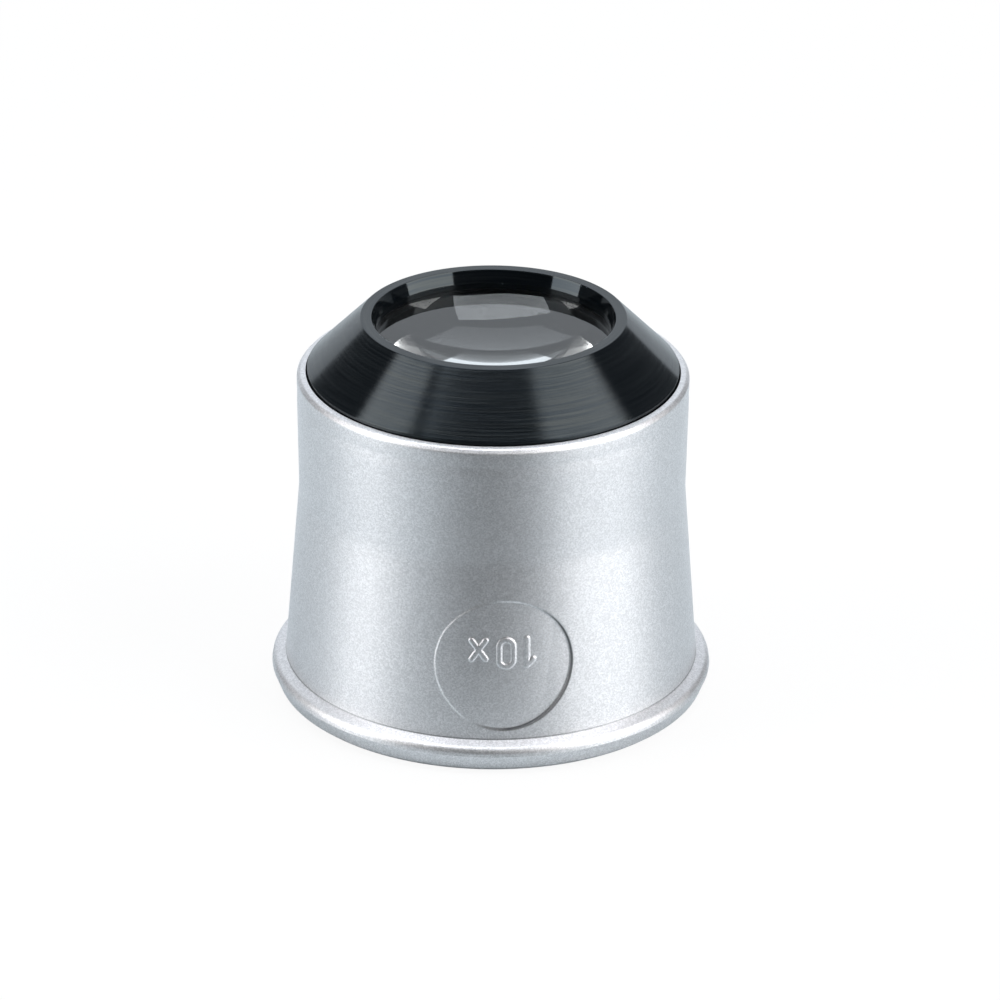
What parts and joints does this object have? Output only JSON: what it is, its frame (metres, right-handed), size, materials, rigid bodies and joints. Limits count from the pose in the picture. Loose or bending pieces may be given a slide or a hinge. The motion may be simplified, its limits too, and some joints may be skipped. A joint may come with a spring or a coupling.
{
  "type": "eye loupe",
  "caption": "Watchmaker's eye loupe: a flared silver eyecup shell with a black conical lens head that unscrews from it along the optical axis.",
  "frame": {"origin": "centre of the plane that the eye end stands on, on the optical axis", "axes": "+Z along the optical axis from the eye towards the watch, -Y the front that carries the medallion, +X to the right seen from the front"},
  "size_m": [0.037, 0.037, 0.0328],
  "materials": {
    "silver_lacquer": "satin metallic lacquer",
    "black_anodised": "turned and anodised black, satin",
    "matt_black": "matt black anodised",
    "optical_glass": "polished"
  },
  "bodies": {
    "eyecup": {"eyecup_shell": "silver_lacquer"},
    "spacer": {"spacer_ring": "matt_black"},
    "lens_head": {"lens_mount": "black_anodised", "front_lens": "optical_glass", "rear_lens": "optical_glass", "retaining_ring": "matt_black"}
  },
  "joints": [
    {"name": "head_lift", "type": "slide", "parent": "eyecup", "child": "spacer", "axis": [0, 0, 1], "range_m": [0, 0.004]},
    {"name": "head_unscrew", "type": "hinge", "parent": "spacer", "child": "lens_head", "pos_m": [0, 0, 0.027], "axis": [0, 0, 1], "range_deg": [0, 1440]}
  ],
  "couplings": [
    {"joint": "head_lift", "follows": "head_unscrew", "m_per_rad": 0.00015915}
  ]
}
